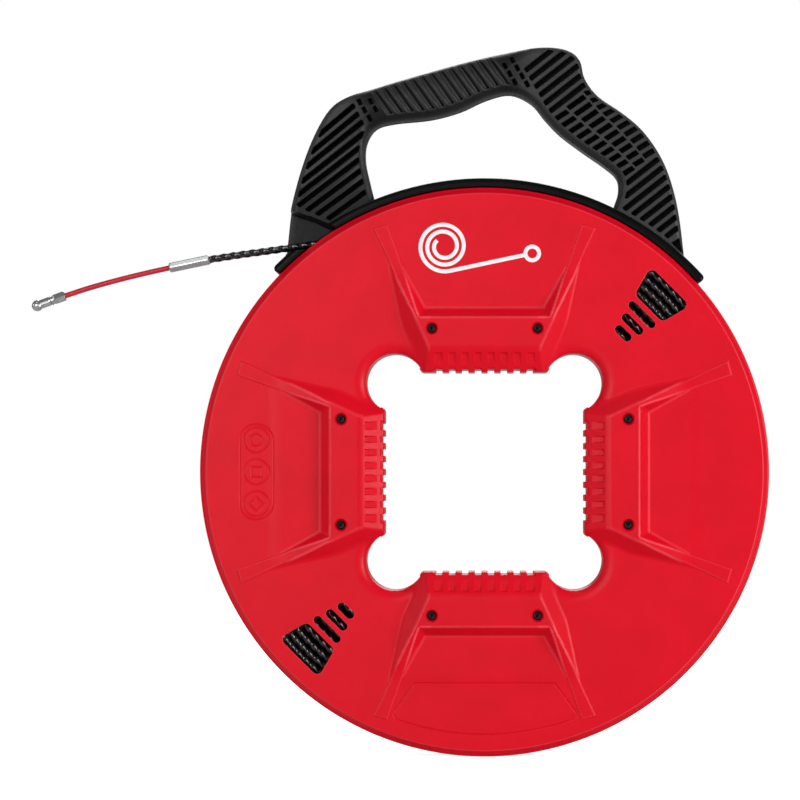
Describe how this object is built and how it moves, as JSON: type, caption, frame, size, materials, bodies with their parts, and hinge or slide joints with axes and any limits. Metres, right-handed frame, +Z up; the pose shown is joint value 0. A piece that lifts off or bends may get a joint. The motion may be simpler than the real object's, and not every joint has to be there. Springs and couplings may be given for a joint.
{
  "type": "fish tape reel",
  "caption": "Ring-shaped winding case with a square ribbed hand opening that turns in the shoe of a carrying handle, holding a coiled twisted fish tape with a leader and pulling eye.",
  "frame": {"origin": "middle of the case, on the axis that it turns about", "axes": "+Z up with the handle on top, -Y towards the front of the case, so the case turns about Y and the tape leaves towards -X"},
  "size_m": [0.4554, 0.058, 0.4369],
  "materials": {
    "shell_red": "fine spark-eroded texture, satin",
    "handle_nylon": "glass-filled nylon, satin",
    "rail_acetal": "natural acetal, smooth",
    "screw_black": "black oxide",
    "tape_polyester": "glossy twisted monofilament",
    "leader_red": "glossy solid nylon",
    "bright_steel": "bright zinc plate"
  },
  "bodies": {
    "handle": {"handle_frame": "handle_nylon", "shoe_rail": "rail_acetal", "rail_screw_1": "screw_black", "rail_screw_2": "screw_black", "rail_screw_3": "screw_black", "rail_screw_4": "screw_black"},
    "case": {"front_shell": "shell_red", "back_shell": "shell_red", "case_screw_1": "screw_black", "case_screw_2": "screw_black", "case_screw_3": "screw_black", "case_screw_4": "screw_black", "case_screw_5": "screw_black", "case_screw_6": "screw_black", "case_screw_7": "screw_black", "case_screw_8": "screw_black", "tape_coil": "tape_polyester", "anchor_clip": "bright_steel", "anchor_screw": "bright_steel"},
    "tape_end": {"tape_lead": "tape_polyester", "tape_tail": "tape_polyester", "tail_ferrule": "bright_steel", "leader_rod": "leader_red", "tip_sleeve": "bright_steel", "tip_eyelet": "bright_steel"}
  },
  "joints": [
    {"name": "case_spin", "type": "hinge", "parent": "handle", "child": "case", "pos_m": [0, 0, 0], "axis": [0, 1, 0], "continuous": true},
    {"name": "tape_feed", "type": "slide", "parent": "handle", "child": "tape_end", "axis": [-0.9895, 0, -0.1444], "range_m": [-0.044, 0.06]}
  ]
}
